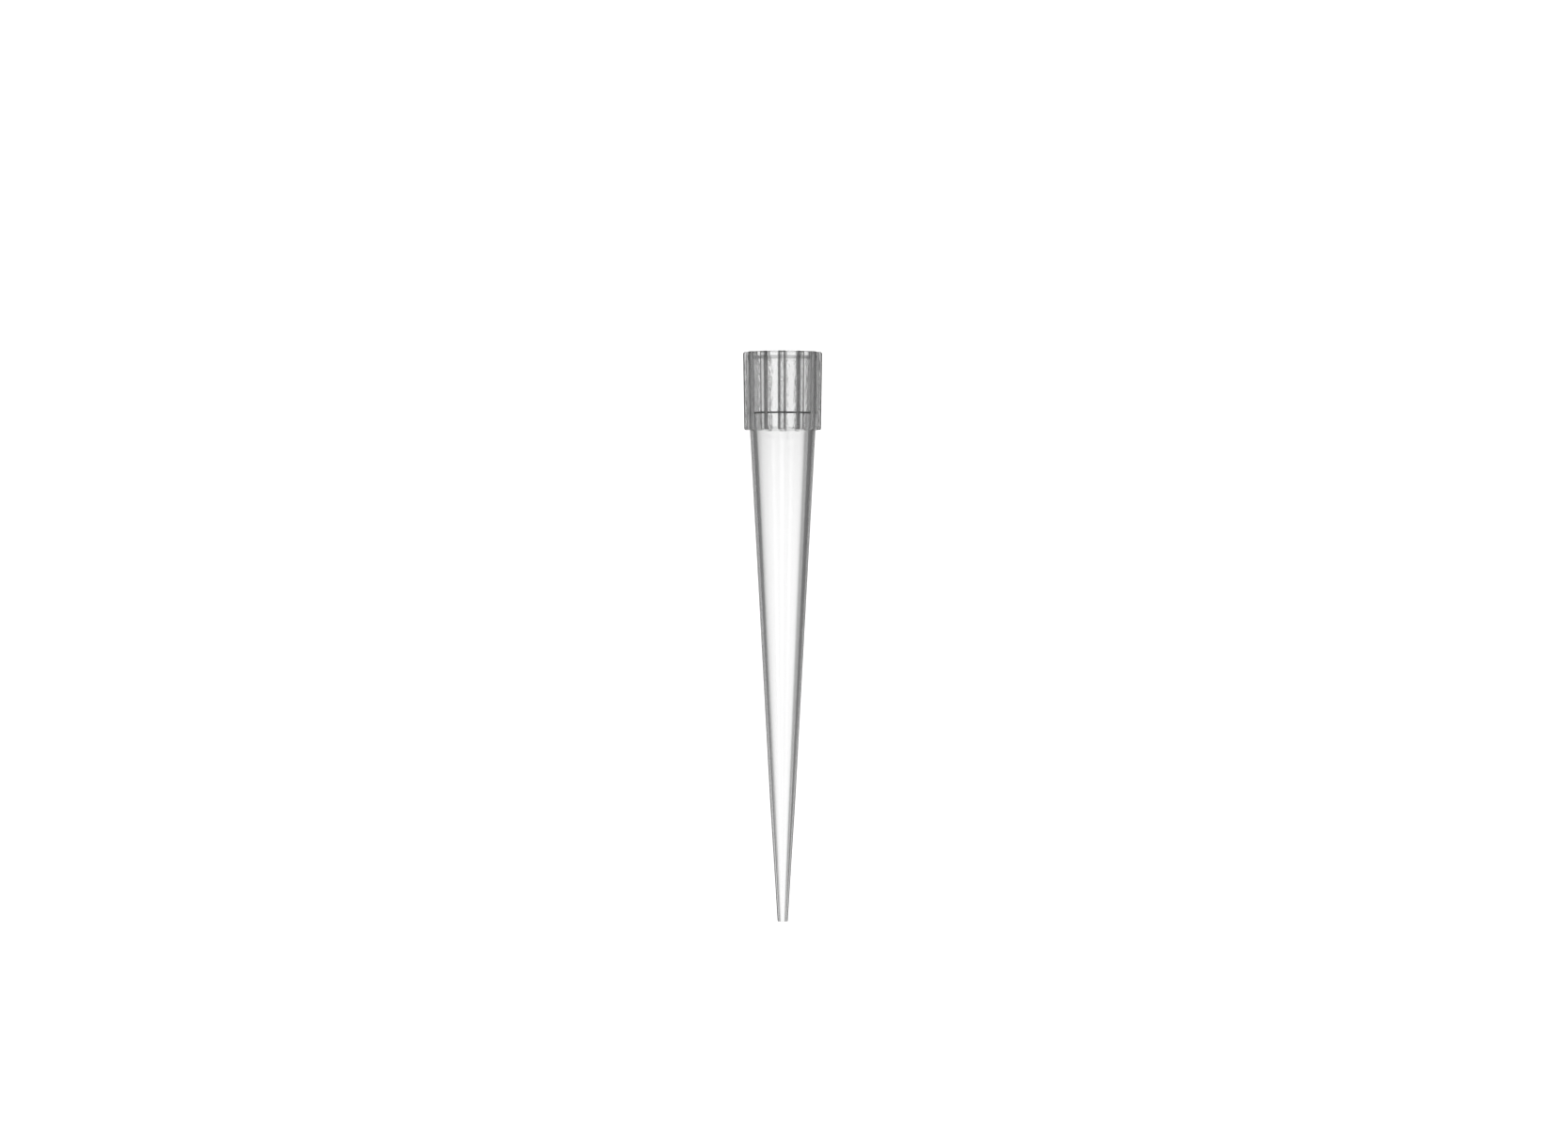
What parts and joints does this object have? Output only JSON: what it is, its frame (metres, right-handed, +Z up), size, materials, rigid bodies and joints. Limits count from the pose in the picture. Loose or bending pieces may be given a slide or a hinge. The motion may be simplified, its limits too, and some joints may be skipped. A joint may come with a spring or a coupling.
{
  "type": "pipette tip",
  "caption": "Slim tapered pipette tip with an open ribbed collar that pushes on to a pipette's nozzle, and a fine end that draws up and gives out liquid.",
  "frame": {"origin": "on the table under the middle of the tip as it lies", "axes": "the tip lies on its side: +Y towards the mouth, -Y towards the fine end, +Z up from the table, X across"},
  "size_m": [0.007, 0.0512, 0.0073],
  "materials": {
    "natural_polypropylene": "clear to slightly milky, colourless, as moulded"
  },
  "bodies": {
    "root": {"pipette_tip": "natural_polypropylene"}
  },
  "joints": []
}
